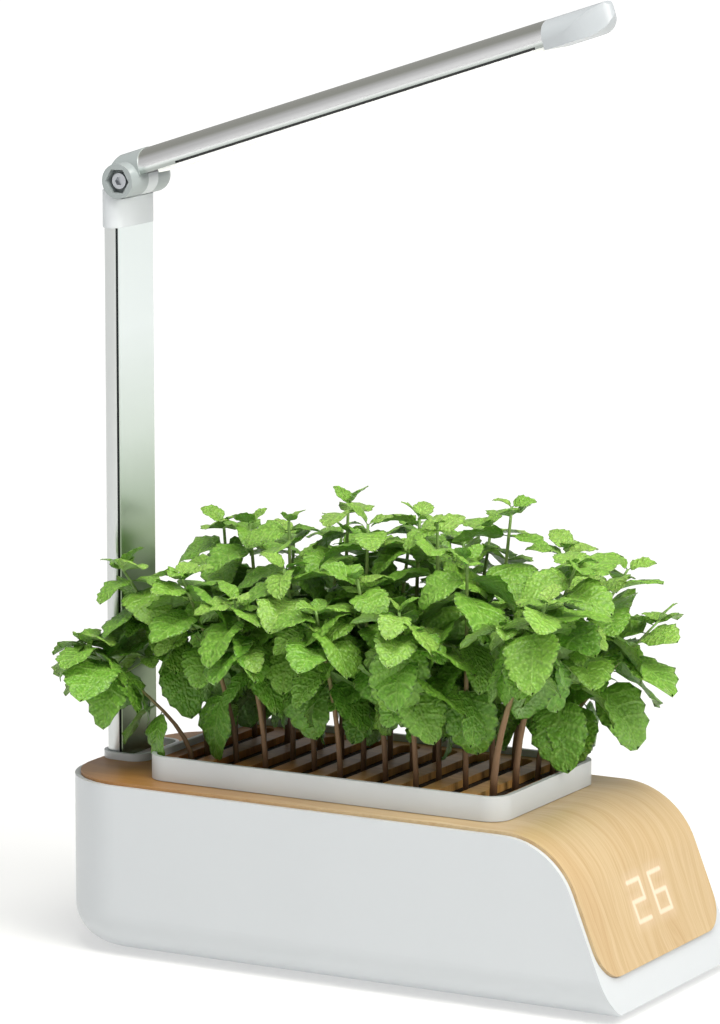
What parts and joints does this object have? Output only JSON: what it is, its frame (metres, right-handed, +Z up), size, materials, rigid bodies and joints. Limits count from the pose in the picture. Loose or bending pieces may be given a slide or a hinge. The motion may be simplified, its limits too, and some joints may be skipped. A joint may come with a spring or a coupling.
{
  "type": "indoor herb planter",
  "caption": "Indoor herb planter: wood-decked white housing with a numeral display, a lift-out slotted tray of mint and a hinged grow lamp on a flat post.",
  "frame": {"origin": "middle of the housing's footprint on the surface it stands on", "axes": "+X towards the nose with the display, +Y across the housing, +Z up"},
  "size_m": [0.347, 0.1703, 0.5141],
  "materials": {
    "white_shell": "satin moulded ABS",
    "white_tray": "satin moulded plastic",
    "tank_plastic": "moulded polypropylene",
    "dark_plastic": "moulded nylon",
    "grey_plastic": "satin moulded ABS",
    "wood_veneer": "bamboo veneer, satin lacquer",
    "slotted_wood": "bamboo, satin",
    "aluminium": "satin anodised extrusion",
    "bright_strip": "bright anodised strip",
    "steel": "zinc plated",
    "rubber": "moulded",
    "sponge": "open-cell growing sponge",
    "mint": "living mint, leaves and stems",
    "circuit_board": "solder mask",
    "diffuser": "milky polycarbonate",
    "led": "LED package",
    "display_glow": "lit numeral display"
  },
  "bodies": {
    "base": {"housing_shell": "white_shell", "wood_deck": "wood_veneer", "bottom_cover": "white_shell", "cover_screws": "steel", "rubber_feet": "rubber", "water_tank": "tank_plastic", "post_collar": "white_shell", "post_tube": "aluminium", "post_front_strip": "bright_strip", "post_bracket": "dark_plastic", "bracket_screws": "steel", "post_cap": "white_shell", "display_module": "display_glow", "display_board": "circuit_board", "control_board": "circuit_board", "power_inlet": "dark_plastic"},
    "plant_insert": {"plant_tray": "white_tray", "grow_plate": "slotted_wood", "root_sponges": "sponge", "mint_plants": "mint"},
    "lamp_arm": {"arm_knuckle": "grey_plastic", "hinge_bolt": "steel", "hinge_nut": "steel", "arm_shell": "aluminium", "lamp_base_strip": "dark_plastic", "light_diffuser": "diffuser", "led_board": "circuit_board", "led_chips": "led", "arm_end_cap": "white_shell"}
  },
  "joints": [
    {"name": "lamp_arm_hinge", "type": "hinge", "parent": "base", "child": "lamp_arm", "pos_m": [-0.1532, 0, 0.4085], "axis": [0, -1, 0], "range_deg": [-32, 52]},
    {"name": "plant_insert_lift", "type": "slide", "parent": "base", "child": "plant_insert", "axis": [0, 0, 1], "range_m": [0, 0.06]}
  ]
}
